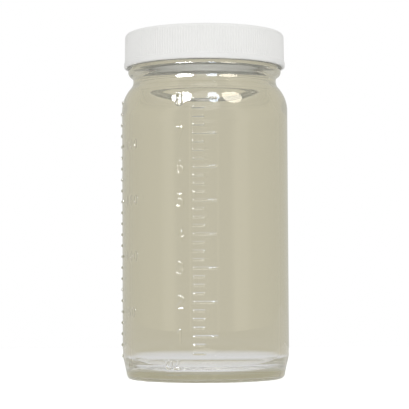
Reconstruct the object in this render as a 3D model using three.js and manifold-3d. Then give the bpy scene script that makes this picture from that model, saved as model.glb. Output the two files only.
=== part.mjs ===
import * as THREE from 'three';
import { mergeVertices } from 'three/addons/utils/BufferGeometryUtils.js';
import Module from 'manifold-3d';

// A clear glass bottle with a wide mouth, two moulded volume scales, a ribbed plastic screw cap
// and the foam liner inside the cap. Millimetres. The bottle stands on z = 0 with its axis on Z
// and its ounce scale towards -Y.

// Glass body, from the base up
const bodyDiameter = 62;
const bodyWall = 3.1;
const basePushUp = 1.2;
const bearingWidth = 4.6;
const heelCorner = 1.8;
const heelInset = 1.5;
const heelTop = 8.5;
const straightWallTop = 99.8;
const shoulderRadius = 12.5;
const shoulderFillet = 4;

// Neck ring between the shoulder and the cap
const grooveDiameter = 53.5;
const grooveWidth = 0.35;
const beadDiameter = 57.3;
const beadUnderFillet = 1.7;
const beadRound = 2.1;
const beadTopRound = 1;
const beadTopFillet = 0.6;

// Threaded finish above the neck ring
const threadDiameter = 57.3;
const threadDepth = 1.2;
const threadPitch = 4.233;
const threadTurns = 1;
const threadRootWidth = 2.6;
const threadCrestWidth = 0.9;
const threadStartDrop = 2.5;
const threadStartAngle = THREE.MathUtils.degToRad(40);
const finishHeight = 11.55;
const mouthBore = 49.2;
const lipCorner = 0.8;

// Inside of the glass
const baseThickness = 3.8;
const floorCrown = 0.7;
const innerHeelRadius = 6;
const innerShoulderStart = 97;
const innerShoulderRadius = 15;
const innerShoulderFillet = 8.5;

// Moulded scales, in cubic millimetres and in degrees round from -Y towards +X
const fluidOunce = 29573.5;
const tenMillilitres = 10000;
const ounceScale = {
  step: fluidOunce / 4, first: 2, last: 32, longEvery: 4, start: -8.8, short: 8.8, long: 17.2,
};
const metricScale = {
  step: tenMillilitres, first: 1, last: 24, longEvery: 5, start: -90, short: 7, long: 14,
};
const markHeight = 1.1;
const markProud = 0.4;
const markBevel = 0.25;
const markBite = 0.6;

// Cap, drawn around the finish
const linerThickness = 0.9;
const seatGap = 0.3;
const threadClearance = 0.3;
const threadFlankGap = 0.3;
const capCrestClearance = 0.4;
const capCrestWidth = 0.6;
const capTopThickness = 1.3;
const capWall = 0.72;
const capCorner = 1.5;
const capRimAboveBead = 1.5;
const rimBandHeight = 2.2;
const rimBandStep = 0.5;
const rimBandRound = 0.5;
const ribCount = 180;
const ribDepth = 0.24;
const wallDraft = 0.14;

// Fineness of the curves
const roundSegments = 48;
const capSegments = 60;
const arcSteps = 2;
const broadArcSteps = 3;
const threadSteps = 40;
const runOut = 0.14;
const bite = 0.35;

const bodyRadius = bodyDiameter / 2;
const innerRadius = bodyRadius - bodyWall;
const heelRadius = bodyRadius - heelInset;
const neckRadius = threadDiameter / 2 - threadDepth;
const threadRadius = threadDiameter / 2;
const boreRadius = mouthBore / 2;

const wasm = await Module();
wasm.setup();

// Two arcs that lead an upright wall over to another radius, as points from the lower wall up
function ogee(fromRadius, toRadius, startHeight, lowerArc, upperArc, steps) {
  const step = toRadius - fromRadius;
  const side = Math.sign(step);
  const turn = Math.acos(Math.max(0, 1 - Math.abs(step) / (lowerArc + upperArc)));
  const endHeight = startHeight + (lowerArc + upperArc) * Math.sin(turn);
  const points = [];
  for (let i = 0; i <= steps; i += 1) {
    const angle = (turn * i) / steps;
    const across = side * lowerArc * (1 - Math.cos(angle));
    points.push(new THREE.Vector2(fromRadius + across, startHeight + lowerArc * Math.sin(angle)));
  }
  for (let i = steps - 1; i >= 0; i -= 1) {
    const angle = (turn * i) / steps;
    const across = side * upperArc * (1 - Math.cos(angle));
    points.push(new THREE.Vector2(toRadius - across, endHeight - upperArc * Math.sin(angle)));
  }
  return points;
}

// Points on an arc about a centre, from one angle to another
function arc(centreRadius, centreHeight, size, from, to, steps) {
  const points = [];
  for (let i = 0; i <= steps; i += 1) {
    const angle = from + ((to - from) * i) / steps;
    const across = size * Math.cos(angle);
    points.push(new THREE.Vector2(centreRadius + across, centreHeight + size * Math.sin(angle)));
  }
  return points;
}

// A shallow dome on the axis, as points from the axis out to its edge
function crown(edgeRadius, edgeHeight, rise, steps) {
  const points = [];
  for (let i = 0; i <= steps; i += 1) {
    const share = i / steps;
    points.push(new THREE.Vector2(edgeRadius * share, edgeHeight + rise * (1 - share * share)));
  }
  return points;
}

// A closed body turned about Z from points that go up the outside and end on the axis
function turned(points, segments) {
  return new THREE.LatheGeometry(points, segments).rotateX(Math.PI / 2);
}

function solid(geometry) {
  const bare = geometry.clone();
  bare.deleteAttribute('normal');
  bare.deleteAttribute('uv');
  const merged = mergeVertices(bare, 1e-4);
  const vertProperties = new Float32Array(merged.attributes.position.array);
  const triVerts = new Uint32Array(merged.index.array);
  return new wasm.Manifold(new wasm.Mesh({ numProp: 3, vertProperties, triVerts }));
}

function toGeometry(body) {
  const mesh = body.getMesh();
  const geometry = new THREE.BufferGeometry();
  geometry.setAttribute('position', new THREE.BufferAttribute(mesh.vertProperties, 3));
  geometry.setIndex(new THREE.BufferAttribute(mesh.triVerts, 1));
  geometry.computeVertexNormals();
  return geometry;
}

// The glass outline, kept as named heights that the cap and the scales share
const shoulder = ogee(
  bodyRadius, grooveDiameter / 2, straightWallTop, shoulderRadius, shoulderFillet, broadArcSteps,
);
const grooveTop = shoulder.at(-1).y + grooveWidth;
const beadFlank = ogee(
  grooveDiameter / 2, beadDiameter / 2, grooveTop, beadUnderFillet, beadRound, arcSteps,
);
const beadHeight = beadFlank.at(-1).y;
const beadTop = ogee(beadDiameter / 2, neckRadius, beadHeight, beadTopRound, beadTopFillet, arcSteps);
const landHeight = beadHeight + finishHeight;

const base = crown(heelRadius - heelCorner - bearingWidth, 0, basePushUp, broadArcSteps);
const heel = arc(heelRadius - heelCorner, heelCorner, heelCorner, -Math.PI / 2, 0, arcSteps);
const outerWall = [
  ...base,
  ...heel,
  new THREE.Vector2(bodyRadius, heelTop),
  ...shoulder,
  ...beadFlank,
  ...beadTop.slice(1),
];
const lip = [
  ...arc(neckRadius - lipCorner, landHeight - lipCorner, lipCorner, 0, Math.PI / 2, arcSteps),
  ...arc(boreRadius + lipCorner, landHeight - lipCorner, lipCorner, Math.PI / 2, Math.PI, arcSteps),
];
const innerFloor = crown(innerRadius - innerHeelRadius, baseThickness, floorCrown, broadArcSteps);
const innerHeel = arc(
  innerRadius - innerHeelRadius, baseThickness + innerHeelRadius, innerHeelRadius,
  -Math.PI / 2, 0, broadArcSteps,
);
const innerShoulder = ogee(
  innerRadius, boreRadius, innerShoulderStart, innerShoulderRadius, innerShoulderFillet, broadArcSteps,
);
const innerWall = [...innerFloor, ...innerHeel.slice(1), ...innerShoulder];

// Height that a volume of liquid fills the bottle to, from the inner outline
function fillHeight(volume) {
  let left = volume;
  for (let i = 1; i < innerWall.length; i += 1) {
    const below = innerWall[i - 1];
    const above = innerWall[i];
    const rise = above.y - below.y;
    const full = (Math.PI * rise * (below.x ** 2 + below.x * above.x + above.x ** 2)) / 3;
    if (rise > 0 && left <= full) {
      return below.y + (rise * left) / full;
    }
    left -= full;
  }
  return innerWall.at(-1).y;
}

function outerRadiusAt(height) {
  const above = outerWall.findIndex((point, i) => i > base.length && point.y >= height);
  const low = outerWall[above - 1];
  const high = outerWall[above];
  return THREE.MathUtils.mapLinear(height, low.y, high.y, low.x, high.x);
}

// A bevelled bar that follows the wall, for one line of a scale
function scaleMark(radius, height, fromDegrees, sweepDegrees) {
  const from = THREE.MathUtils.degToRad(fromDegrees - 90);
  const to = from + THREE.MathUtils.degToRad(sweepDegrees);
  const outline = new THREE.Shape();
  outline.absarc(0, 0, radius + markProud, from, to, false);
  outline.absarc(0, 0, radius - markBite, to, from, true);
  const mark = new THREE.ExtrudeGeometry(outline, {
    depth: markHeight - 2 * markBevel,
    bevelThickness: markBevel,
    bevelSize: markBevel,
    bevelOffset: -markBevel,
    bevelSegments: 1,
    curveSegments: sweepDegrees > ounceScale.short ? arcSteps : 1,
  });
  return mark.translate(0, 0, height - markHeight / 2 + markBevel);
}

function scaleMarks(scale) {
  const marks = [];
  for (let count = scale.first; count <= scale.last; count += 1) {
    const height = fillHeight(count * scale.step);
    const sweep = count % scale.longEvery === 0 ? scale.long : scale.short;
    marks.push(solid(scaleMark(outerRadiusAt(height), height, scale.start, sweep)));
  }
  return marks;
}

// A thread of trapezoid section wound on an upright wall, with ends that run out into the wall.
// It stands outwards from the wall, wound down from its top end, or inwards, wound up from its low end.
function helicalRidge({ wallRadius, outwards, depth, rootWidth, crestWidth, startAngle, startHeight }) {
  const buriedWidth = rootWidth + ((rootWidth - crestWidth) / depth) * bite;
  const section = new THREE.Shape([
    new THREE.Vector2(-bite, -buriedWidth / 2),
    new THREE.Vector2(depth, -crestWidth / 2),
    new THREE.Vector2(depth, crestWidth / 2),
    new THREE.Vector2(-bite, buriedWidth / 2),
  ]);
  const ridge = new THREE.ExtrudeGeometry(section, { depth: 1, steps: threadSteps, bevelEnabled: false });
  const position = ridge.attributes.position;
  const side = outwards ? 1 : -1;
  for (let i = 0; i < position.count; i += 1) {
    const along = position.getZ(i);
    const end = Math.min(along, 1 - along);
    const swell = THREE.MathUtils.smoothstep(end, 0, runOut) * (1 + bite) - bite / 2;
    const rise = position.getX(i) > 0 ? position.getX(i) * Math.min(1, swell) : position.getX(i);
    const radius = wallRadius + side * rise;
    const angle = startAngle - side * along * threadTurns * 2 * Math.PI;
    const height = startHeight - side * along * threadTurns * threadPitch + position.getY(i);
    position.setXYZ(i, radius * Math.cos(angle), radius * Math.sin(angle), height);
  }
  return ridge;
}

function glassBottle() {
  const outline = [...outerWall, ...lip, ...innerWall.toReversed()];
  const thread = helicalRidge({
    wallRadius: neckRadius,
    outwards: true,
    depth: threadDepth,
    rootWidth: threadRootWidth,
    crestWidth: threadCrestWidth,
    startAngle: threadStartAngle,
    startHeight: landHeight - threadStartDrop,
  });
  let bottle = solid(turned(outline, roundSegments)).add(solid(thread));
  for (const mark of [...scaleMarks(ounceScale), ...scaleMarks(metricScale)]) {
    bottle = bottle.add(mark);
  }
  return toGeometry(bottle);
}

// Sizes of the cap, worked out from the finish that it screws onto
const capInnerRadius = threadRadius + threadClearance;
const capRibRoot = capInnerRadius + capWall;
const capRibCrest = capRibRoot + ribDepth;
const rimHeight = beadHeight + capRimAboveBead;
const linerHeight = landHeight + seatGap;
const ceilingHeight = linerHeight + linerThickness + seatGap;
const capTop = ceilingHeight + capTopThickness;
const capThreadDepth = capInnerRadius - neckRadius - capCrestClearance;
const flankSlope = (threadRootWidth - threadCrestWidth) / 2 / threadDepth;
const capRootWidth = capCrestWidth + 2 * flankSlope * capThreadDepth;
const glassHalfWidthAtCrest = threadRootWidth / 2 - flankSlope * capCrestClearance;
const capThreadDrop = glassHalfWidthAtCrest + capCrestWidth / 2 + threadFlankGap * Math.hypot(1, flankSlope);

// Upright ribs as one extruded outline, slightly narrower towards the top
function ribbedWall() {
  const outline = [];
  for (let i = 0; i < ribCount * 2; i += 1) {
    const angle = (i * Math.PI) / ribCount;
    const radius = i % 2 === 0 ? capRibCrest : capRibRoot;
    outline.push(new THREE.Vector2(radius * Math.cos(angle), radius * Math.sin(angle)));
  }
  const depth = capTop - rimHeight - rimBandHeight / 2;
  const wall = new THREE.ExtrudeGeometry(new THREE.Shape(outline), { depth, bevelEnabled: false });
  const position = wall.attributes.position;
  for (let i = 0; i < position.count; i += 1) {
    const narrowing = 1 - (wallDraft / capRibCrest) * (position.getZ(i) / depth);
    position.setXY(i, position.getX(i) * narrowing, position.getY(i) * narrowing);
  }
  return wall.translate(0, 0, capTop - depth);
}

// Rounds the top edge of the ribs
function capEnvelope() {
  const centre = capRibCrest - wallDraft - capCorner;
  return turned([
    new THREE.Vector2(0, rimHeight),
    new THREE.Vector2(capRibCrest + ribDepth, rimHeight),
    new THREE.Vector2(capRibCrest + ribDepth, rimHeight + rimBandHeight),
    ...arc(centre, capTop - capCorner, capCorner, 0, Math.PI / 2, arcSteps),
    new THREE.Vector2(0, capTop),
  ], capSegments);
}

// Plain band round the rim
function rimBand() {
  const outer = capRibRoot + rimBandStep;
  const top = rimHeight + rimBandHeight;
  return turned([
    new THREE.Vector2(0, rimHeight),
    ...arc(outer - rimBandRound, rimHeight + rimBandRound, rimBandRound, -Math.PI / 2, 0, arcSteps),
    new THREE.Vector2(outer, top - rimBandStep),
    new THREE.Vector2(capRibRoot, top),
    new THREE.Vector2(0, top),
  ], capSegments);
}

function capCavity() {
  return turned([
    new THREE.Vector2(0, rimHeight - rimBandRound),
    new THREE.Vector2(capInnerRadius, rimHeight - rimBandRound),
    new THREE.Vector2(capInnerRadius, ceilingHeight),
    new THREE.Vector2(0, ceilingHeight),
  ], capSegments);
}

function screwCap() {
  const thread = helicalRidge({
    wallRadius: capInnerRadius,
    outwards: false,
    depth: capThreadDepth,
    rootWidth: capRootWidth,
    crestWidth: capCrestWidth,
    startAngle: threadStartAngle - threadTurns * 2 * Math.PI,
    startHeight: landHeight - threadStartDrop - threadTurns * threadPitch - capThreadDrop,
  });
  const shell = solid(ribbedWall())
    .intersect(solid(capEnvelope()))
    .add(solid(rimBand()))
    .subtract(solid(capCavity()));
  return toGeometry(shell.add(solid(thread)));
}

function capLiner() {
  const radius = capInnerRadius - seatGap;
  const disc = new THREE.CylinderGeometry(radius, radius, linerThickness, roundSegments);
  return disc.rotateX(Math.PI / 2).translate(0, 0, linerHeight + linerThickness / 2);
}

function piece(name, geometry, look) {
  const mesh = new THREE.Mesh(geometry, new THREE.MeshStandardMaterial({ metalness: 0, ...look }));
  mesh.name = name;
  return mesh;
}

const group = new THREE.Group();
group.add(
  piece('glass_bottle', glassBottle(), { color: 0xbdb8a0, roughness: 0.05, transparent: true, opacity: 0.4 }),
  piece('screw_cap', screwCap(), { color: 0xf1f1ee, roughness: 0.45 }),
  piece('cap_liner', capLiner(), { color: 0xf4f2ea, roughness: 0.8 }),
);

export default group;
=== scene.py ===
import bpy
import bmesh
import math
from mathutils import Matrix, Vector


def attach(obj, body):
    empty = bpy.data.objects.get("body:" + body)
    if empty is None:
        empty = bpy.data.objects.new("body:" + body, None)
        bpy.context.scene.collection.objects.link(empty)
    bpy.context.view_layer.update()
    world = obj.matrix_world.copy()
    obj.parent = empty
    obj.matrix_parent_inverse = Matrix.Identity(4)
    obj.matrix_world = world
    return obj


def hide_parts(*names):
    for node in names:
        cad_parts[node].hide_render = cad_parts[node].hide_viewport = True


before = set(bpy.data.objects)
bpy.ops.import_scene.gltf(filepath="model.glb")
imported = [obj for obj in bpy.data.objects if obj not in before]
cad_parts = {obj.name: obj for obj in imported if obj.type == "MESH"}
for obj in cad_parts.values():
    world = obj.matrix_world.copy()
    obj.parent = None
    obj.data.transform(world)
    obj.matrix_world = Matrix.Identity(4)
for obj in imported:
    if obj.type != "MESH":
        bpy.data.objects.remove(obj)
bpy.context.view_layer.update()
mm = 0.001
weldDistance = 0.002 * mm
flatNormal = 0.9


# Selecting and finishing

def pickOnly(piece):
    if bpy.context.object and bpy.context.object.mode != "OBJECT":
        bpy.ops.object.mode_set(mode="OBJECT")
    bpy.ops.object.select_all(action="DESELECT")
    if piece:
        piece.select_set(True)
        bpy.context.view_layer.objects.active = piece


def startEdit(piece):
    pickOnly(piece)
    bpy.ops.object.mode_set(mode="EDIT")
    bpy.ops.mesh.select_mode(type="VERT")
    bpy.ops.mesh.select_all(action="SELECT")


def endEdit():
    bpy.ops.object.mode_set(mode="OBJECT")


def pickFaces(piece, test):
    # choose faces by their middle and normal while in edit mode
    bpy.ops.mesh.select_mode(type="FACE")
    bpy.ops.mesh.select_all(action="DESELECT")
    mesh = bmesh.from_edit_mesh(piece.data)
    for face in mesh.faces:
        if test(face.calc_center_median(), face.normal):
            face.select_set(True)
    bmesh.update_edit_mesh(piece.data)


def applyAll(piece):
    pickOnly(piece)
    for modifier in list(piece.modifiers):
        bpy.ops.object.modifier_apply(modifier=modifier.name)


def settle(piece):
    # the place goes into the mesh and the object back to the origin
    pickOnly(piece)
    bpy.ops.object.transform_apply(location=True, rotation=True, scale=True)


def joinAll(pieces, name):
    pickOnly(pieces[0])
    for piece in pieces:
        piece.select_set(True)
    bpy.ops.object.join()
    bpy.context.object.name = name
    return bpy.context.object


def smooth(piece, degrees):
    pickOnly(piece)
    bpy.ops.object.shade_smooth_by_angle(angle=math.radians(degrees))


def finishPiece(piece, material, body, node):
    piece.data.materials.clear()
    piece.data.materials.append(material)
    for polygon in piece.data.polygons:
        polygon.material_index = 0
    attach(piece, body)
    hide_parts(node)


# Outlines, in millimetres, turned about the axis

def arcPoints(centreRadius, centreHeight, size, fromDegrees, toDegrees, steps):
    points = []
    for i in range(steps + 1):
        angle = math.radians(fromDegrees + (toDegrees - fromDegrees) * i / steps)
        height = centreHeight + size * math.sin(angle)
        points.append((centreRadius + size * math.cos(angle), height))
    return points


def sCurve(fromRadius, toRadius, startHeight, lowerArc, upperArc, steps):
    # two arcs that lead an upright wall over to another radius
    step = toRadius - fromRadius
    side = math.copysign(1, step)
    turn = math.acos(1 - abs(step) / (lowerArc + upperArc))
    endHeight = startHeight + (lowerArc + upperArc) * math.sin(turn)
    points = []
    for i in range(steps + 1):
        angle = turn * i / steps
        across = side * lowerArc * (1 - math.cos(angle))
        points.append((fromRadius + across, startHeight + lowerArc * math.sin(angle)))
    for i in range(steps - 1, -1, -1):
        angle = turn * i / steps
        across = side * upperArc * (1 - math.cos(angle))
        points.append((toRadius - across, endHeight - upperArc * math.sin(angle)))
    return points


def domePoints(edgeRadius, edgeHeight, rise, steps):
    shares = [i / steps for i in range(steps + 1)]
    return [(edgeRadius * share, edgeHeight + rise * (1 - share ** 2)) for share in shares]


def drawLine(name, points):
    # edges through the points in the upright plane of the front, left open for editing
    pickOnly(None)
    bpy.ops.mesh.primitive_plane_add(size=mm)
    piece = bpy.context.object
    piece.name = name
    startEdit(piece)
    bpy.ops.mesh.merge(type="CENTER")
    pen = points[0]
    bpy.ops.transform.translate(value=(pen[0] * mm, 0, pen[1] * mm))
    for point in points[1:]:
        move = ((point[0] - pen[0]) * mm, 0, (point[1] - pen[1]) * mm)
        bpy.ops.mesh.extrude_vertices_move(TRANSFORM_OT_translate={"value": move})
        pen = point
    return piece


def turnOutline(name, points, steps):
    piece = drawLine(name, points)
    bpy.ops.mesh.select_all(action="SELECT")
    bpy.ops.mesh.spin(steps=steps, angle=2 * math.pi, center=(0, 0, 0), axis=(0, 0, 1))
    bpy.ops.mesh.select_all(action="SELECT")
    bpy.ops.mesh.remove_doubles(threshold=weldDistance)
    bpy.ops.mesh.normals_make_consistent(inside=False)
    endEdit()
    return piece


# Glass bottle: outline, thread, scales

bottle = {
    "bodyRadius": 31,
    "innerRadius": 27.9,
    "heelRadius": 29.5,
    "heelCorner": 1.8,
    "heelTop": 8.5,
    "bearingWidth": 4.6,
    "basePushUp": 1.2,
    "straightTop": 99.8,
    "shoulderArcs": (12.5, 4),
    "grooveRadius": 26.75,
    "grooveWidth": 0.35,
    "beadRadius": 28.65,
    "beadArcs": (1.7, 2.1),
    "beadTopArcs": (1, 0.6),
    "neckRadius": 27.45,
    "finishHeight": 11.55,
    "lipCorner": 0.8,
    "mouthRadius": 24.6,
    "floorHeight": 3.8,
    "floorCrown": 0.7,
    "innerHeel": 6,
    "innerShoulderStart": 97,
    "innerShoulderArcs": (15, 8.5),
    "baseSteps": 8,
    "heelSteps": 6,
    "wallRings": 56,
    "shoulderSteps": 12,
    "beadSteps": 6,
    "beadTopSteps": 5,
    "lipSteps": 5,
    "floorSteps": 6,
    "innerHeelSteps": 10,
    "innerShoulderSteps": 10,
    "turnSteps": 192,
    "smoothDegrees": 32,
}

# sizes in millimetres, volumes in cubic millimetres, places and lengths round the wall in degrees
scales = {
    "ounce": 29573.5,
    "ounceQuarters": (2, 32),
    "ounceLongEvery": 4,
    "tenMillilitres": 10000,
    "metricTens": (1, 24),
    "metricLongEvery": 5,
    "markHeight": 1.1,
    "markProud": 0.42,
    "markBite": 0.5,
    "markRound": 0.5,
    "markRoundSteps": 3,
    "markStepDegrees": 1.8,
    "markFewestSteps": 4,
    "ounceStart": -8.8,
    "ounceShort": 8.8,
    "ounceLong": 17.2,
    "metricStart": -90,
    "metricShort": 7,
    "metricLong": 14,
    "ounceFigures": -17.2,
    "ounceUnit": -22.5,
    "metricFigures": -61,
    "figureHeight": 5.4,
    "figureSpread": 0.8,
    "strokeRadius": 0.5,
    "strokeFlat": 0.62,
    "strokeStepDegrees": 20,
    "strokeFineness": 5,
    "strokeEndDegrees": (30, 60, 80),
    "ounceSunk": 0,
    "metricSunk": 0.16,
    "unitHeight": 4.1,
    "unitLevel": 6.9,
}


def bottleOutline():
    b = bottle
    bearing = b["heelRadius"] - b["heelCorner"]
    base = domePoints(bearing - b["bearingWidth"], 0, b["basePushUp"], b["baseSteps"])
    heel = arcPoints(bearing, b["heelCorner"], b["heelCorner"], -90, 0, b["heelSteps"])
    shoulder = sCurve(
        b["bodyRadius"], b["grooveRadius"], b["straightTop"], *b["shoulderArcs"],
        b["shoulderSteps"],
    )
    grooveTop = shoulder[-1][1] + b["grooveWidth"]
    bead = sCurve(
        b["grooveRadius"], b["beadRadius"], grooveTop, *b["beadArcs"], b["beadSteps"],
    )
    beadHeight = bead[-1][1]
    beadTop = sCurve(
        b["beadRadius"], b["neckRadius"], beadHeight, *b["beadTopArcs"], b["beadTopSteps"],
    )
    land = beadHeight + b["finishHeight"]
    corner = b["lipCorner"]
    lip = arcPoints(b["neckRadius"] - corner, land - corner, corner, 0, 90, b["lipSteps"])
    lip += arcPoints(b["mouthRadius"] + corner, land - corner, corner, 90, 180, b["lipSteps"])
    rise = b["straightTop"] - b["heelTop"]
    rings = range(b["wallRings"])
    wall = [(b["bodyRadius"], b["heelTop"] + rise * i / b["wallRings"]) for i in rings]
    outer = base + heel + wall + shoulder + bead + beadTop[1:]
    floorEdge = b["innerRadius"] - b["innerHeel"]
    heelCentre = b["floorHeight"] + b["innerHeel"]
    inner = domePoints(floorEdge, b["floorHeight"], b["floorCrown"], b["floorSteps"])
    inner += arcPoints(floorEdge, heelCentre, b["innerHeel"], -90, 0, b["innerHeelSteps"])[1:]
    inner += sCurve(
        b["innerRadius"], b["mouthRadius"], b["innerShoulderStart"], *b["innerShoulderArcs"],
        b["innerShoulderSteps"],
    )
    return outer, lip, inner, beadHeight, land


def fillHeight(inner, volume):
    # how high a volume of liquid stands, summed over the cones between the inner points
    left = volume
    for below, above in zip(inner, inner[1:]):
        rise = above[1] - below[1]
        full = math.pi * rise * (below[0] ** 2 + below[0] * above[0] + above[0] ** 2) / 3
        if rise > 0 and left <= full:
            return below[1] + rise * left / full
        left -= full
    return inner[-1][1]


def radiusAt(outer, height):
    wall = [point for point in outer if point[0] > bottle["grooveRadius"]]
    for below, above in zip(wall, wall[1:]):
        if below[1] <= height <= above[1] and above[1] > below[1]:
            share = (height - below[1]) / (above[1] - below[1])
            return below[0] + (above[0] - below[0]) * share
    return bottle["bodyRadius"]


def curvedBar(name, sweepDegrees):
    # one scale mark, modelled once at height 0 and starting at the front
    s = scales
    pickOnly(None)
    bpy.ops.mesh.primitive_plane_add(size=1)
    bar = bpy.context.object
    bar.name = name
    startEdit(bar)
    width = (s["markProud"] + s["markBite"]) * mm
    middle = (bottle["bodyRadius"] + (s["markProud"] - s["markBite"]) / 2) * mm
    bpy.ops.transform.rotate(value=math.pi / 2, orient_axis="X", center_override=(0, 0, 0))
    bpy.ops.transform.resize(value=(width, 1, s["markHeight"] * mm))
    bpy.ops.transform.translate(value=(middle, 0, 0))
    steps = max(s["markFewestSteps"], round(sweepDegrees / s["markStepDegrees"]))
    bpy.ops.mesh.spin(
        steps=steps, angle=math.radians(sweepDegrees), center=(0, 0, 0), axis=(0, 0, -1),
    )
    bpy.ops.mesh.select_all(action="SELECT")
    bpy.ops.mesh.remove_doubles(threshold=weldDistance)
    bpy.ops.mesh.normals_make_consistent(inside=False)
    endEdit()
    rounding = bar.modifiers.new("rounding", "BEVEL")
    rounding.width = s["markRound"] * mm
    rounding.segments = s["markRoundSteps"]
    rounding.limit_method = "ANGLE"
    applyAll(bar)
    return bar


def placedCopy(bar, startDegrees, radius, height):
    # the copy turns about the axis and moves in or out with the wall
    pickOnly(bar)
    bpy.ops.object.duplicate()
    copy = bpy.context.object
    turn = math.radians(startDegrees - 90)
    inward = (radius - bottle["bodyRadius"]) * mm
    copy.rotation_euler[2] = turn
    copy.location = (inward * math.cos(turn), inward * math.sin(turn), height * mm)
    settle(copy)
    return copy


def curvedStroke(across, up, halfWidth, halfHeight, startDegrees, endDegrees):
    # points along part of an ellipse
    steps = round(abs(endDegrees - startDegrees) / scales["strokeStepDegrees"])
    points = []
    for i in range(steps + 1):
        angle = math.radians(startDegrees + (endDegrees - startDegrees) * i / steps)
        points.append((across + halfWidth * math.cos(angle), up + halfHeight * math.sin(angle)))
    return points


def loop(across, up, halfWidth, halfHeight):
    # a closed round of two strokes
    halves = ((90, 270), (270, 450))
    return [curvedStroke(across, up, halfWidth, halfHeight, *half) for half in halves]


# the centre lines of each character, across and up, in a space one unit high
strokes = {
    "0": loop(0, 0, 0.27, 0.5),
    "1": [[(-0.16, 0.3), (0.03, 0.5)], [(0.03, 0.5), (0.03, -0.5)]],
    "2": [
        curvedStroke(0, 0.24, 0.25, 0.26, 165, -35), [(0.2, 0.09), (-0.25, -0.5)],
        [(-0.25, -0.5), (0.27, -0.5)],
    ],
    "3": [
        curvedStroke(-0.02, 0.26, 0.24, 0.24, 150, -90),
        curvedStroke(-0.02, -0.24, 0.27, 0.26, 90, -150),
    ],
    "4": [[(0.12, 0.5), (-0.28, -0.2)], [(-0.28, -0.2), (0.3, -0.2)], [(0.12, 0.5), (0.12, -0.5)]],
    "5": [
        [(0.22, 0.5), (-0.19, 0.5)], [(-0.19, 0.5), (-0.23, 0.02)],
        curvedStroke(0, -0.19, 0.27, 0.31, 140, -150),
    ],
    "6": [*loop(0, -0.22, 0.26, 0.28), curvedStroke(0.16, -0.2, 0.42, 0.7, 180, 105)],
    "7": [[(-0.26, 0.5), (0.26, 0.5)], [(0.26, 0.5), (-0.06, -0.5)]],
    "8": [*loop(0, 0.26, 0.21, 0.24), *loop(0, -0.24, 0.26, 0.26)],
    "L": [[(-0.2, 0.5), (-0.2, -0.5)], [(-0.2, -0.5), (0.26, -0.5)]],
    "M": [
        [(-0.34, -0.5), (-0.34, 0.5)], [(-0.34, 0.5), (0, -0.15)], [(0, -0.15), (0.34, 0.5)],
        [(0.34, 0.5), (0.34, -0.5)],
    ],
    "O": loop(0, 0, 0.34, 0.5),
    "Z": [[(-0.28, 0.5), (0.28, 0.5)], [(0.28, 0.5), (-0.28, -0.5)], [(-0.28, -0.5), (0.28, -0.5)]],
}


def domedEnd(end, before, radius):
    # points past the end of a stroke, each with its share of the full thickness
    length = math.dist(end, before)
    dome = []
    for degrees in scales["strokeEndDegrees"]:
        angle = math.radians(degrees)
        reach = radius * math.sin(angle) / length
        across = end[0] + (end[0] - before[0]) * reach
        up = end[1] + (end[1] - before[1]) * reach
        dome.append((across, up, math.cos(angle)))
    return dome


def roundBead(points, radius):
    # a round bead along the points, domed at both ends
    path = domedEnd(points[0], points[1], radius)[::-1]
    path += [(across, up, 1) for across, up in points]
    path += domedEnd(points[-1], points[-2], radius)
    drawLine("bead", path)
    endEdit()
    bpy.ops.object.convert(target="CURVE")
    bead = bpy.context.object
    bead.data.bevel_depth = radius * mm
    bead.data.bevel_resolution = scales["strokeFineness"]
    bead.data.use_fill_caps = True
    for point, (_, _, share) in zip(bead.data.splines[0].points, path):
        point.radius = share
    bpy.ops.object.convert(target="MESH")
    bead = bpy.context.object
    startEdit(bead)
    bpy.ops.mesh.remove_doubles(threshold=weldDistance)
    bpy.ops.mesh.normals_make_consistent(inside=False)
    endEdit()
    return bead


def castCharacter(character, size):
    # one raised character at the origin, modelled once, its beads fused and pressed flatter
    s = scales
    reach = size - 2 * s["strokeRadius"]
    beads = []
    for stroke in strokes[character]:
        points = [(across * reach, up * reach) for across, up in stroke]
        beads.append(roundBead(points, s["strokeRadius"]))
    cast = beads[0]
    for bead in beads[1:]:
        fuse = cast.modifiers.new("fuse", "BOOLEAN")
        fuse.operation = "UNION"
        fuse.solver = "MANIFOLD"
        fuse.object = bead
    applyAll(cast)
    for bead in beads[1:]:
        bpy.data.objects.remove(bead)
    cast.scale[1] = s["strokeFlat"]
    settle(cast)
    return cast


def figure(text, casts, centreDegrees, radius, height, size, sunk):
    # copies of the characters, each square to the wall at its own place
    placed = []
    for i, character in enumerate(text):
        if (character, size) not in casts:
            casts[(character, size)] = castCharacter(character, size)
        pickOnly(casts[(character, size)])
        bpy.ops.object.duplicate()
        copy = bpy.context.object
        across = (i - (len(text) - 1) / 2) * scales["figureSpread"] * size
        turn = Matrix.Rotation(math.radians(centreDegrees) + across / radius, 4, "Z")
        copy.matrix_world = turn @ Matrix.Translation((0, -(radius - sunk) * mm, height * mm))
        settle(copy)
        placed.append(copy)
    return placed


thread = {
    "pitch": 4.233,
    "depth": 1.2,
    "rootWidth": 2.6,
    "crestWidth": 0.9,
    "crestShare": 0.2,
    "crestCorner": 0.12,
    "startDrop": 2.5,
    "startDegrees": 40,
    "bite": 0.35,
    "runOut": 0.14,
    "steps": 128,
    "capDepth": 1.1,
    "capCrest": 0.6,
    "flankGap": 0.3,
}


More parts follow.
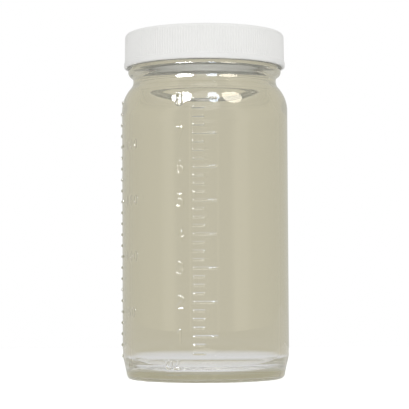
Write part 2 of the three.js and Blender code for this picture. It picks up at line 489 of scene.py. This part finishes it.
def windThread(name, wallRadius, side, depth, rootWidth, crestWidth, lowHeight):
    # one turn of a right-handed thread, rising anticlockwise from its low end
    t = thread
    slope = (rootWidth - crestWidth) / 2 / depth
    buried = rootWidth / 2 + slope * t["bite"]
    # the flanks go straight up to where the rounding of the crest begins
    flankTop = depth * (1 - t["crestShare"])
    flankHalf = crestWidth / 2 + slope * depth * t["crestShare"]
    crestHalf = crestWidth / 2 - t["crestCorner"]
    corners = [
        (-t["bite"], -buried), (flankTop, -flankHalf), (depth, -crestHalf), (depth, crestHalf),
        (flankTop, flankHalf), (-t["bite"], buried),
    ]
    pickOnly(None)
    bpy.ops.mesh.primitive_circle_add(vertices=len(corners), radius=mm, fill_type="NGON")
    ridge = bpy.context.object
    ridge.name = name
    for vertex, (rise, up) in zip(ridge.data.vertices, corners):
        vertex.co = ((wallRadius + side * rise) * mm, 0, up * mm)
    winding = ridge.modifiers.new("winding", "SCREW")
    winding.axis = "Z"
    winding.angle = 2 * math.pi
    winding.screw_offset = t["pitch"] * mm
    winding.steps = t["steps"]
    winding.render_steps = t["steps"]
    winding.use_merge_vertices = False
    applyAll(ridge)
    startEdit(ridge)
    bpy.ops.mesh.fill_holes(sides=len(corners))
    bpy.ops.mesh.select_all(action="SELECT")
    bpy.ops.mesh.normals_make_consistent(inside=False)
    endEdit()
    # both ends ease down into the wall over a short run
    # where they overlap in plan, a point's height tells which end it belongs to
    halfPitch = t["pitch"] * mm * 0.5
    for vertex in ridge.data.vertices:
        place = vertex.co
        along = (math.atan2(place.y, place.x) / (2 * math.pi)) % 1
        if along < 0.25 and place.z > halfPitch:
            along += 1
        if along > 0.75 and place.z < halfPitch:
            along -= 1
        radius = math.hypot(place.x, place.y) / mm
        rise = (radius - wallRadius) * side
        end = min(max(min(along, 1 - along) / t["runOut"], 0), 1)
        swell = min(1, end * end * (3 - 2 * end) * (1 + t["bite"]) - t["bite"] / 2)
        if rise > 0:
            wanted = (wallRadius + side * rise * swell) / radius
            vertex.co = (place.x * wanted, place.y * wanted, place.z)
    ridge.rotation_euler[2] = math.radians(t["startDegrees"])
    ridge.location[2] = lowHeight * mm
    settle(ridge)
    return ridge


def makeBottle():
    outer, lip, inner, beadHeight, land = bottleOutline()
    glass = turnOutline("glassBottle", outer + lip + inner[::-1], bottle["turnSteps"])
    print("bottle turned", len(glass.data.polygons))
    s = scales
    raised = []
    casts = {}
    shortBar = curvedBar("ounceShortBar", s["ounceShort"])
    longBar = curvedBar("ounceLongBar", s["ounceLong"])
    first, last = s["ounceQuarters"]
    for quarter in range(first, last + 1):
        height = fillHeight(inner, quarter * s["ounce"] / 4)
        radius = radiusAt(outer, height)
        numbered = quarter % s["ounceLongEvery"] == 0
        bar = longBar if numbered else shortBar
        raised.append(placedCopy(bar, s["ounceStart"], radius, height))
        if numbered:
            raised += figure(
                str(quarter // 4), casts, s["ounceFigures"], radius, height, s["figureHeight"],
                s["ounceSunk"],
            )
    metricShortBar = curvedBar("metricShortBar", s["metricShort"])
    metricLongBar = curvedBar("metricLongBar", s["metricLong"])
    first, last = s["metricTens"]
    for ten in range(first, last + 1):
        height = fillHeight(inner, ten * s["tenMillilitres"])
        radius = radiusAt(outer, height)
        numbered = ten % s["metricLongEvery"] == 0
        bar = metricLongBar if numbered else metricShortBar
        raised.append(placedCopy(bar, s["metricStart"], radius, height))
        if numbered:
            raised += figure(
                str(ten * 10), casts, s["metricFigures"], radius, height, s["unitHeight"],
                s["metricSunk"],
            )
    level = s["unitLevel"]
    radius = radiusAt(outer, level)
    units = (("OZ", s["ounceUnit"], s["ounceSunk"]), ("ML", s["metricFigures"], s["metricSunk"]))
    for unit, degrees, sunk in units:
        raised += figure(unit, casts, degrees, radius, level, s["unitHeight"], sunk)
    t = thread
    raised.append(windThread(
        "neckThread", bottle["neckRadius"], 1, t["depth"], t["rootWidth"], t["crestWidth"],
        land - t["startDrop"] - t["pitch"],
    ))
    marks = joinAll(raised, "raisedMarks")
    fuse = glass.modifiers.new("fuse", "BOOLEAN")
    fuse.operation = "UNION"
    fuse.solver = "MANIFOLD"
    fuse.object = marks
    applyAll(glass)
    for helper in (marks, shortBar, longBar, metricShortBar, metricLongBar, *casts.values()):
        bpy.data.objects.remove(helper)
    smooth(glass, bottle["smoothDegrees"])
    print("marks and thread fused", len(glass.data.polygons))
    return glass, beadHeight, land


# Screw cap: ribbed shell, plain band, inner thread

cap = {
    "ribs": 180,
    "facetsPerRib": 6,
    "ribDepth": 0.24,
    "wallRoot": 29.67,
    "draft": 0.14,
    "corner": 1.5,
    "cornerSteps": 5,
    "innerRadius": 28.95,
    "rimAboveBead": 1.5,
    "bandHeight": 2.2,
    "bandRadius": 30.17,
    "bandRound": 0.5,
    "bandRoundSteps": 4,
    "bandFlare": 0.35,
    "mouthChamfer": 0.25,
    "ceilingAboveLand": 1.5,
    "topThickness": 1.3,
    "ribFoot": 0.05,
    "ribHead": 0.12,
    "ribKeepOff": 0.4,
    "smoothDegrees": 40,
}


def growRing(rise, fromRadius, toRadius):
    # pull the chosen end face on to a new height and radius
    size = toRadius / fromRadius
    bpy.ops.mesh.extrude_region_move(TRANSFORM_OT_translate={"value": (0, 0, rise * mm)})
    bpy.ops.transform.resize(value=(size, size, 1))


def makeCap(beadHeight, land):
    c = cap
    rim = beadHeight + c["rimAboveBead"]
    bandTop = rim + c["bandHeight"]
    ceiling = land + c["ceilingAboveLand"]
    top = ceiling + c["topThickness"]
    crest = c["wallRoot"] + c["ribDepth"]
    facets = c["ribs"] * c["facetsPerRib"]
    pickOnly(None)
    bpy.ops.mesh.primitive_cylinder_add(
        vertices=facets, radius=crest * mm, depth=(top - bandTop) * mm,
        location=(0, 0, (top + bandTop) / 2 * mm), end_fill_type="NGON",
    )
    shell = bpy.context.object
    shell.name = "screwCap"
    settle(shell)
    startEdit(shell)
    pickFaces(shell, lambda middle, normal: normal.z > flatNormal)
    narrow = (crest - c["draft"]) / crest
    bpy.ops.transform.resize(value=(narrow, narrow, 1))
    bpy.ops.mesh.bevel(offset=c["corner"] * mm, segments=c["cornerSteps"], affect="EDGES")
    pickFaces(shell, lambda middle, normal: normal.z < -flatNormal)
    band, bore, chamfer = c["bandRadius"], c["innerRadius"], c["mouthChamfer"]
    growRing(-c["bandFlare"], crest, band)
    growRing(-(c["bandHeight"] - c["bandFlare"] - c["bandRound"]), band, band)
    rounded = arcPoints(band - c["bandRound"], 0, c["bandRound"], 0, -90, c["bandRoundSteps"])
    for before, after in zip(rounded, rounded[1:]):
        growRing(after[1] - before[1], before[0], after[0])
    growRing(0, rounded[-1][0], bore + chamfer)
    growRing(chamfer, bore + chamfer, bore)
    growRing(ceiling - rim - chamfer, bore, bore)
    endEdit()
    # ribs: the upright wall moves in between the crests
    ribBottom = (bandTop - c["ribFoot"]) * mm
    ribTop = (top - c["corner"]) * mm + c["ribHead"] * mm
    for vertex in shell.data.vertices:
        place = vertex.co
        radius = math.hypot(place.x, place.y)
        if ribBottom < place.z < ribTop and radius > (bore + c["ribKeepOff"]) * mm:
            turn = math.atan2(place.y, place.x) * c["ribs"]
            depth = c["ribDepth"] * mm * (0.5 - 0.5 * math.cos(turn))
            share = (radius - depth) / radius
            vertex.co = (place.x * share, place.y * share, place.z)
    t = thread
    slope = (t["rootWidth"] - t["crestWidth"]) / 2 / t["depth"]
    crestGap = bore - t["capDepth"] - bottle["neckRadius"]
    rootWidth = t["capCrest"] + 2 * slope * t["capDepth"]
    drop = t["rootWidth"] / 2 - slope * crestGap + t["capCrest"] / 2
    drop += t["flankGap"] * math.hypot(1, slope)
    ridge = windThread(
        "capThread", bore, -1, t["capDepth"], rootWidth, t["capCrest"],
        land - t["startDrop"] - t["pitch"] - drop,
    )
    shell = joinAll([shell, ridge], "screwCap")
    smooth(shell, c["smoothDegrees"])
    print("cap made", len(shell.data.polygons))
    return shell


# Liner: a foam disc with slightly rounded edges

liner = {
    "radius": 28.65,
    "aboveLand": 0.3,
    "thickness": 0.9,
    "round": 0.2,
    "roundSteps": 3,
    "facets": 160,
    "smoothDegrees": 40,
}


def makeLiner(land):
    v = liner
    pickOnly(None)
    bpy.ops.mesh.primitive_cylinder_add(
        vertices=v["facets"], radius=v["radius"] * mm, depth=v["thickness"] * mm,
        location=(0, 0, (land + v["aboveLand"] + v["thickness"] / 2) * mm),
    )
    disc = bpy.context.object
    disc.name = "capLiner"
    settle(disc)
    startEdit(disc)
    pickFaces(disc, lambda middle, normal: abs(normal.z) > flatNormal)
    bpy.ops.mesh.bevel(offset=v["round"] * mm, segments=v["roundSteps"], affect="EDGES")
    endEdit()
    smooth(disc, v["smoothDegrees"])
    return disc


# Materials

glassLook = {
    "tint": (0.985, 0.985, 0.975, 1),
    "depthColour": (0.55, 0.54, 0.4, 1),
    "depthDensity": 13,
    "paintedGlowColour": (0.5, 0.48, 0.4, 1),
    "roughness": 0.015,
    "ior": 1.5,
    "caughtBounces": 2.5,
    "rippleScale": (70, 70, 9),
    "rippleDetail": 1,
    "seamDegrees": -10.4,
    "seamWidth": 0.22,
    "seamHeight": 0.25,
    "bumpStrength": 0.35,
    "bumpDistance": 0.25,
}

plasticLook = {
    "ior": 1.49,
    "specular": 0.25,
    "shades": ((0.85, 0.85, 0.835, 1), (0.9, 0.9, 0.885, 1)),
    "mottleScale": 90,
    "mottleDetail": 3,
    "roughness": (0.38, 0.5),
    "grainScale": 2600,
    "bumpStrength": 0.15,
    "bumpDistance": 0.03,
}

foamLook = {
    "roughness": 0.8,
    "shades": ((0.93, 0.93, 0.9, 1), (0.88, 0.88, 0.84, 1)),
    "cellScale": 2200,
    "bumpStrength": 0.4,
    "bumpDistance": 0.06,
}


def newMaterial(name):
    material = bpy.data.materials.new(name)
    material.use_nodes = True
    nodes = material.node_tree.nodes
    return material, nodes, material.node_tree.links, nodes["Principled BSDF"]


def mathNode(nodes, links, operation, first, second=None, clamp=False):
    node = nodes.new("ShaderNodeMath")
    node.operation = operation
    node.use_clamp = clamp
    for socket, value in zip(node.inputs, (first, second)):
        if isinstance(value, (int, float)):
            socket.default_value = value
        elif value is not None:
            links.new(value, socket)
    return node.outputs[0]


def makeGlassMaterial():
    g = glassLook
    material, nodes, links, surface = newMaterial("clearGlass")
    surface.inputs["Base Color"].default_value = g["tint"]
    surface.inputs["Roughness"].default_value = g["roughness"]
    surface.inputs["IOR"].default_value = g["ior"]
    surface.inputs["Transmission Weight"].default_value = 1
    # after many reflections inside the glass, the glass glows in a painted dim room colour,
    # standing in for the light caught there
    path = nodes.new("ShaderNodeLightPath")
    paintedGlow = nodes.new("ShaderNodeEmission")
    paintedGlow.inputs["Color"].default_value = g["paintedGlowColour"]
    choice = nodes.new("ShaderNodeMixShader")
    deep = mathNode(nodes, links, "GREATER_THAN", path.outputs["Glossy Depth"], g["caughtBounces"])
    links.new(deep, choice.inputs["Fac"])
    links.new(surface.outputs["BSDF"], choice.inputs[1])
    links.new(paintedGlow.outputs["Emission"], choice.inputs[2])
    links.new(choice.outputs["Shader"], nodes["Material Output"].inputs["Surface"])
    depth = nodes.new("ShaderNodeVolumeAbsorption")
    depth.inputs["Color"].default_value = g["depthColour"]
    depth.inputs["Density"].default_value = g["depthDensity"]
    links.new(depth.outputs["Volume"], nodes["Material Output"].inputs["Volume"])
    coordinates = nodes.new("ShaderNodeTexCoord")
    # slow ripples that run up the wall, as the mould leaves them
    stretch = nodes.new("ShaderNodeMapping")
    stretch.inputs["Scale"].default_value = g["rippleScale"]
    links.new(coordinates.outputs["Object"], stretch.inputs["Vector"])
    ripple = nodes.new("ShaderNodeTexNoise")
    ripple.inputs["Scale"].default_value = 1
    ripple.inputs["Detail"].default_value = g["rippleDetail"]
    links.new(stretch.outputs["Vector"], ripple.inputs["Vector"])
    # the mould's parting line, on both sides of the body
    place = nodes.new("ShaderNodeSeparateXYZ")
    links.new(coordinates.outputs["Object"], place.inputs["Vector"])
    seamTurn = math.radians(g["seamDegrees"])
    across = mathNode(
        nodes, links, "ADD",
        mathNode(nodes, links, "MULTIPLY", place.outputs["X"], math.cos(seamTurn)),
        mathNode(nodes, links, "MULTIPLY", place.outputs["Y"], math.sin(seamTurn)),
    )
    distance = mathNode(nodes, links, "ABSOLUTE", across)
    seam = mathNode(
        nodes, links, "SUBTRACT", 1,
        mathNode(nodes, links, "DIVIDE", distance, g["seamWidth"] * mm), clamp=True,
    )
    raisedSeam = mathNode(nodes, links, "MULTIPLY", seam, g["seamHeight"])
    height = mathNode(nodes, links, "ADD", ripple.outputs["Fac"], raisedSeam)
    bump = nodes.new("ShaderNodeBump")
    bump.inputs["Strength"].default_value = g["bumpStrength"]
    bump.inputs["Distance"].default_value = g["bumpDistance"] * mm
    links.new(height, bump.inputs["Height"])
    links.new(bump.outputs["Normal"], surface.inputs["Normal"])
    return material


def makePlasticMaterial():
    p = plasticLook
    material, nodes, links, surface = newMaterial("whitePlastic")
    surface.inputs["IOR"].default_value = p["ior"]
    surface.inputs["Specular IOR Level"].default_value = p["specular"]
    coordinates = nodes.new("ShaderNodeTexCoord")
    mottle = nodes.new("ShaderNodeTexNoise")
    mottle.inputs["Scale"].default_value = p["mottleScale"]
    mottle.inputs["Detail"].default_value = p["mottleDetail"]
    links.new(coordinates.outputs["Object"], mottle.inputs["Vector"])
    shade = nodes.new("ShaderNodeValToRGB")
    for step, colour in zip(shade.color_ramp.elements, p["shades"]):
        step.color = colour
    links.new(mottle.outputs["Fac"], shade.inputs["Fac"])
    links.new(shade.outputs["Color"], surface.inputs["Base Color"])
    sheen = nodes.new("ShaderNodeMapRange")
    sheen.inputs["To Min"].default_value = p["roughness"][0]
    sheen.inputs["To Max"].default_value = p["roughness"][1]
    links.new(mottle.outputs["Fac"], sheen.inputs["Value"])
    links.new(sheen.outputs["Result"], surface.inputs["Roughness"])
    grain = nodes.new("ShaderNodeTexNoise")
    grain.inputs["Scale"].default_value = p["grainScale"]
    links.new(coordinates.outputs["Object"], grain.inputs["Vector"])
    bump = nodes.new("ShaderNodeBump")
    bump.inputs["Strength"].default_value = p["bumpStrength"]
    bump.inputs["Distance"].default_value = p["bumpDistance"] * mm
    links.new(grain.outputs["Fac"], bump.inputs["Height"])
    links.new(bump.outputs["Normal"], surface.inputs["Normal"])
    return material


def makeFoamMaterial():
    f = foamLook
    material, nodes, links, surface = newMaterial("linerFoam")
    surface.inputs["Roughness"].default_value = f["roughness"]
    coordinates = nodes.new("ShaderNodeTexCoord")
    cells = nodes.new("ShaderNodeTexVoronoi")
    cells.inputs["Scale"].default_value = f["cellScale"]
    links.new(coordinates.outputs["Object"], cells.inputs["Vector"])
    shade = nodes.new("ShaderNodeValToRGB")
    for step, colour in zip(shade.color_ramp.elements, f["shades"]):
        step.color = colour
    links.new(cells.outputs["Distance"], shade.inputs["Fac"])
    links.new(shade.outputs["Color"], surface.inputs["Base Color"])
    bump = nodes.new("ShaderNodeBump")
    bump.inputs["Strength"].default_value = f["bumpStrength"]
    bump.inputs["Distance"].default_value = f["bumpDistance"] * mm
    links.new(cells.outputs["Distance"], bump.inputs["Height"])
    links.new(bump.outputs["Normal"], surface.inputs["Normal"])
    return material


# Camera, floor, world and lamps

view = {
    "sensorWidth": 36,
    "clipStart": 0.01,
    "focalPixels": 1583.5,
    "framePixels": 409,
    "distance": 592.9,
    "sideways": -0.24,
    "height": 37.1,
    "pitchDegrees": 2.683,
    "rollDegrees": 0.282,
}


def makeCamera():
    v = view
    pickOnly(None)
    bpy.ops.object.camera_add()
    camera = bpy.context.object
    camera.data.sensor_width = v["sensorWidth"]
    camera.data.lens = v["focalPixels"] / v["framePixels"] * v["sensorWidth"]
    camera.data.clip_start = v["clipStart"]
    place = Matrix.Translation((v["sideways"] * mm, -v["distance"] * mm, v["height"] * mm))
    tilt = Matrix.Rotation(math.pi / 2 + math.radians(v["pitchDegrees"]), 4, "X")
    roll = Matrix.Rotation(-math.radians(v["rollDegrees"]), 4, "Z")
    camera.matrix_world = place @ tilt @ roll
    bpy.context.scene.camera = camera


lighting = {
    "fill": (0.75, 0.75, 0.75, 1),
    "inside": (1, 1, 1, 1),
    "seenWhite": (1, 1, 1, 1),
    "mirrored": (0.6, 0.6, 0.57, 1),
    "keyPlace": (0.05, -1.2, 0.75),
    "keyWidth": 0.9,
    "keyPower": 2.9,
    "softKeyPower": 2.2,
    "lampAim": (0, 0, 0.1),
    "glintLevel": 0.57,
    "glintHeight": 0.66,
    "floorSize": 0.5,
    "floorRoughness": 0.9,
    "floorGlow": 0.43,
    "floorColour": (0.9, 0.9, 0.89, 1),
    "litFloor": (0.97, 0.97, 0.96, 1),
    "paintedPoolColour": (0.75, 0.755, 0.79, 1),
    "farFloor": (0.54, 0.507, 0.4, 1),
    "paintedPoolReach": (0.03, 0.095),
}

# the beige room behind the glass: shade at each sideways share of the line of sight
room = {
    "colour": (0.605, 0.568, 0.448),
    "shades": (
        (0, (0.93, 0.93, 0.93, 1)), (0.025, (0.915, 0.915, 0.915, 1)),
        (0.042, (0.92, 0.92, 0.92, 1)), (0.056, (1, 1, 1, 1)), (0.072, (0.99, 0.99, 0.99, 1)),
        (0.09, (0.94, 0.94, 0.93, 1)), (0.25, (0.9, 0.9, 0.89, 1)), (0.5, (0.86, 0.86, 0.83, 1)),
    ),
    "skyLevel": (0.12, 0.35),
    "skyGain": 1.06,
}

highlights = [
    {"azimuth": -33, "width": 0.52, "colour": (1, 1, 1), "power": 46},
    {"azimuth": 12, "width": 0.3, "colour": (0.72, 0.82, 1), "power": 7.5},
    {"azimuth": 40, "width": 0.55, "colour": (1, 0.93, 0.78), "power": 11},
]


def mixColour(nodes, links, share, first, second):
    mix = nodes.new("ShaderNodeMix")
    mix.data_type = "RGBA"
    links.new(share, mix.inputs[0])
    sockets = [socket for socket in mix.inputs if socket.type == "RGBA"]
    for socket, colour in zip(sockets, (first, second)):
        if isinstance(colour, tuple):
            socket.default_value = colour
        else:
            links.new(colour, socket)
    return [socket for socket in mix.outputs if socket.type == "RGBA"][0]


def rangeNode(nodes, links, value, low, high, first=0.0, last=1.0):
    node = nodes.new("ShaderNodeMapRange")
    node.interpolation_type = "SMOOTHSTEP"
    links.new(value, node.inputs["Value"])
    limits = {"From Min": low, "From Max": high, "To Min": first, "To Max": last}
    for name, number in limits.items():
        node.inputs[name].default_value = number
    return node.outputs["Result"]


def seenThrough(nodes, links, path):
    # rays that come straight through the glass, not from something lit inside it
    direct = mathNode(nodes, links, "LESS_THAN", path.outputs["Diffuse Depth"], 0.5)
    return mathNode(nodes, links, "MULTIPLY", path.outputs["Is Transmission Ray"], direct)


def makeFloor():
    # the floor is white to the eye and takes the shadow; through the glass it glows in the room's
    # colour, with a painted pool of light close to the bottle
    pickOnly(None)
    bpy.ops.mesh.primitive_plane_add(size=lighting["floorSize"])
    floor = bpy.context.object
    floor.name = "floor"
    material, nodes, links, surface = newMaterial("paleFloor")
    surface.inputs["Base Color"].default_value = lighting["floorColour"]
    surface.inputs["Roughness"].default_value = lighting["floorRoughness"]
    surface.inputs["Specular IOR Level"].default_value = 0
    path = nodes.new("ShaderNodeLightPath")
    surface.inputs["Emission Color"].default_value = lighting["seenWhite"]
    glow = mathNode(nodes, links, "MULTIPLY", path.outputs["Is Camera Ray"], lighting["floorGlow"])
    links.new(glow, surface.inputs["Emission Strength"])
    place = nodes.new("ShaderNodeTexCoord")
    reach = nodes.new("ShaderNodeVectorMath")
    reach.operation = "LENGTH"
    links.new(place.outputs["Object"], reach.inputs[0])
    # painted pool of light: close to the bottle the floor glows lighter and bluer, fading out to
    # the room's colour
    far = rangeNode(nodes, links, reach.outputs["Value"], *lighting["paintedPoolReach"])
    pool = nodes.new("ShaderNodeEmission")
    through = seenThrough(nodes, links, path)
    colour = mixColour(nodes, links, far, lighting["paintedPoolColour"], lighting["farFloor"])
    colour = mixColour(nodes, links, through, lighting["litFloor"], colour)
    links.new(colour, pool.inputs["Color"])
    choice = nodes.new("ShaderNodeMixShader")
    links.new(path.outputs["Is Transmission Ray"], choice.inputs["Fac"])
    links.new(surface.outputs["BSDF"], choice.inputs[1])
    links.new(pool.outputs["Emission"], choice.inputs[2])
    # nothing of the floor shows from underneath
    below = nodes.new("ShaderNodeNewGeometry")
    gone = nodes.new("ShaderNodeBsdfTransparent")
    side = nodes.new("ShaderNodeMixShader")
    links.new(below.outputs["Backfacing"], side.inputs["Fac"])
    links.new(choice.outputs["Shader"], side.inputs[1])
    links.new(gone.outputs["BSDF"], side.inputs[2])
    links.new(side.outputs["Shader"], nodes["Material Output"].inputs["Surface"])
    floor.data.materials.append(material)


def makeWorld():
    # white to the eye, the room through the glass, plain grey light on the rest
    world = bpy.context.scene.world or bpy.data.worlds.new("world")
    bpy.context.scene.world = world
    world.use_nodes = True
    nodes, links = world.node_tree.nodes, world.node_tree.links
    sight = nodes.new("ShaderNodeTexCoord")
    axes = nodes.new("ShaderNodeSeparateXYZ")
    links.new(sight.outputs["Generated"], axes.inputs["Vector"])
    shades = nodes.new("ShaderNodeValToRGB")
    links.new(mathNode(nodes, links, "ABSOLUTE", axes.outputs["X"]), shades.inputs["Fac"])
    steps = shades.color_ramp.elements
    steps.remove(steps[1])
    for number, (place, shade) in enumerate(room["shades"]):
        step = steps[0] if number == 0 else steps.new(place)
        step.position = place
        step.color = shade
    sky = rangeNode(nodes, links, axes.outputs["Z"], *room["skyLevel"], 1, room["skyGain"])
    tinted = nodes.new("ShaderNodeVectorMath")
    tinted.operation = "MULTIPLY"
    tinted.inputs[1].default_value = room["colour"]
    links.new(shades.outputs["Color"], tinted.inputs[0])
    seen = nodes.new("ShaderNodeVectorMath")
    seen.operation = "SCALE"
    links.new(tinted.outputs["Vector"], seen.inputs[0])
    links.new(sky, seen.inputs["Scale"])
    path = nodes.new("ShaderNodeLightPath")
    light = lighting
    glossy, inside = path.outputs["Is Glossy Ray"], path.outputs["Is Transmission Ray"]
    through = seenThrough(nodes, links, path)
    colour = mixColour(nodes, links, glossy, light["fill"], light["mirrored"])
    colour = mixColour(nodes, links, inside, colour, light["inside"])
    colour = mixColour(nodes, links, through, colour, seen.outputs["Vector"])
    colour = mixColour(nodes, links, path.outputs["Is Camera Ray"], colour, light["seenWhite"])
    links.new(colour, nodes["Background"].inputs["Color"])
    nodes["Background"].inputs["Strength"].default_value = 1


def makeLamp(name, place, width, height, power, colour):
    pickOnly(None)
    bpy.ops.object.light_add(type="AREA", location=place)
    lamp = bpy.context.object
    lamp.name = name
    lamp.data.shape = "ELLIPSE"
    lamp.data.size = width
    lamp.data.size_y = height
    lamp.data.energy = power
    lamp.data.color = colour
    aim = Vector(lighting["lampAim"]) - Vector(place)
    lamp.rotation_euler = aim.to_track_quat("-Z", "Y").to_euler()
    return lamp


def makeLamps(glass):
    # the highlight lamps are kept off the cap, which would glare in them from low views
    glassOnly = bpy.data.collections.new("glassOnly")
    glassOnly.objects.link(glass)
    white = (1, 1, 1)
    place, width = lighting["keyPlace"], lighting["keyWidth"]
    makeLamp("keyLamp", place, width, width, lighting["keyPower"], white)
    # the same place once more, without a mirror image, so that the cap's top doesn't glare
    soft = makeLamp("softKeyLamp", place, width, width, lighting["softKeyPower"], white)
    soft.visible_glossy = False
    for number, lamp in enumerate(highlights):
        azimuth = math.radians(lamp["azimuth"])
        place = (math.sin(azimuth), -math.cos(azimuth), lighting["glintLevel"])
        glint = makeLamp(
            f"glint{number}", place, lamp["width"], lighting["glintHeight"], lamp["power"],
            lamp["colour"],
        )
        glint.visible_diffuse = False
        glint.visible_transmission = False
        glint.light_linking.receiver_collection = glassOnly


makeCamera()
makeFloor()
makeWorld()
glass, beadHeight, land = makeBottle()
shell = makeCap(beadHeight, land)
disc = makeLiner(land)
makeLamps(glass)
finishPiece(glass, makeGlassMaterial(), "bottle", "glass_bottle")
finishPiece(shell, makePlasticMaterial(), "cap", "screw_cap")
finishPiece(disc, makeFoamMaterial(), "liner", "cap_liner")
print("pieces finished")

bpy.context.scene.view_settings.view_transform = "Standard"
